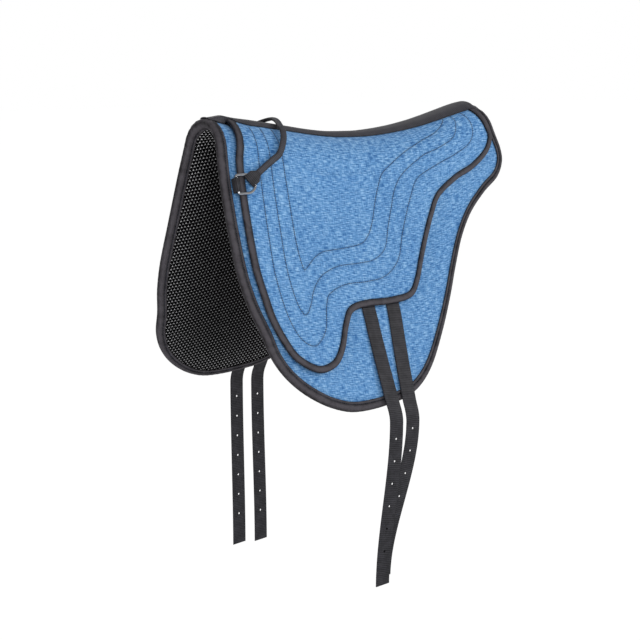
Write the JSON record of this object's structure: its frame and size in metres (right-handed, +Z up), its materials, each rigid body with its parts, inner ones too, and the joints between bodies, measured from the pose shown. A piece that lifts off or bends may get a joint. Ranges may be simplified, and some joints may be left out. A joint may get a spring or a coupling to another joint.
{
  "type": "bareback pad",
  "caption": "Padded bareback riding pad with quilted seat, bound edges, girth straps, shoulder rings and grab strap.",
  "frame": {"origin": "underside of the pad at the lowest point of its ridge, where the horse's spine carries it", "axes": "+X towards the horse's tail, -Y the horse's left side, +Z up"},
  "size_m": [0.6576, 0.5376, 0.8886],
  "materials": {
    "denim": "mottled light and mid blue woven denim",
    "spacer_mesh": "black large-hole spacer mesh",
    "foam": "grey cellular foam",
    "binding": "black woven binding tape",
    "webbing": "black ribbed nylon webbing",
    "ring_steel": "bright nickel-plated round wire"
  },
  "bodies": {
    "pad": {"left_mesh_lining": "spacer_mesh", "right_mesh_lining": "spacer_mesh", "left_foam_core": "foam", "right_foam_core": "foam", "left_base_cover": "denim", "right_base_cover": "denim", "left_base_binding": "binding", "right_base_binding": "binding", "left_seat_foam": "foam", "right_seat_foam": "foam", "left_seat_quilt": "denim", "right_seat_quilt": "denim", "left_seat_binding": "binding", "right_seat_binding": "binding", "spine_strip": "webbing", "left_ring_keeper": "webbing", "right_ring_keeper": "webbing", "left_front_girth_web": "webbing", "left_rear_girth_web": "webbing", "right_front_girth_web": "webbing", "right_rear_girth_web": "webbing"},
    "left_shoulder_ring": {"left_ring": "ring_steel", "left_grab_loop": "webbing"},
    "right_shoulder_ring": {"right_ring": "ring_steel", "right_grab_loop": "webbing"},
    "grab_strap": {"grab_strap": "webbing"},
    "left_rear_billet": {"left_rear_billet": "webbing"},
    "left_front_billet": {"left_front_billet": "webbing"},
    "right_front_billet": {"right_front_billet": "webbing"},
    "right_rear_billet": {"right_rear_billet": "webbing"}
  },
  "joints": [
    {"name": "left_ring_swing", "type": "hinge", "parent": "pad", "child": "left_shoulder_ring", "pos_m": [-0.28922, -0.09432, -0.05611], "axis": [0, -0.3131, -0.9497], "range_deg": [0, 45]},
    {"name": "right_ring_swing", "type": "hinge", "parent": "pad", "child": "right_shoulder_ring", "pos_m": [-0.28922, 0.09432, -0.05611], "axis": [0, -0.3131, 0.9497], "range_deg": [0, 45]},
    {"name": "grab_strap_lift", "type": "hinge", "parent": "pad", "child": "grab_strap", "pos_m": [-0.2448, 0, -0.03727], "axis": [0, -1, 0], "range_deg": [0, 50], "deforming": ["left_grab_loop", "right_grab_loop"]},
    {"name": "left_rear_billet_lift", "type": "hinge", "parent": "pad", "child": "left_rear_billet", "pos_m": [0, -0.17401, -0.29068], "axis": [-1, 0, 0], "range_deg": [0, 65]},
    {"name": "left_front_billet_lift", "type": "hinge", "parent": "left_rear_billet", "child": "left_front_billet", "pos_m": [0, -0.17401, -0.29068], "axis": [-1, 0, 0], "range_deg": [0, 45]},
    {"name": "right_front_billet_lift", "type": "hinge", "parent": "pad", "child": "right_front_billet", "pos_m": [0, 0.17401, -0.29068], "axis": [1, 0, 0], "range_deg": [0, 120]},
    {"name": "right_rear_billet_lift", "type": "hinge", "parent": "pad", "child": "right_rear_billet", "pos_m": [0, 0.17401, -0.29068], "axis": [1, 0, 0], "range_deg": [0, 120]}
  ]
}
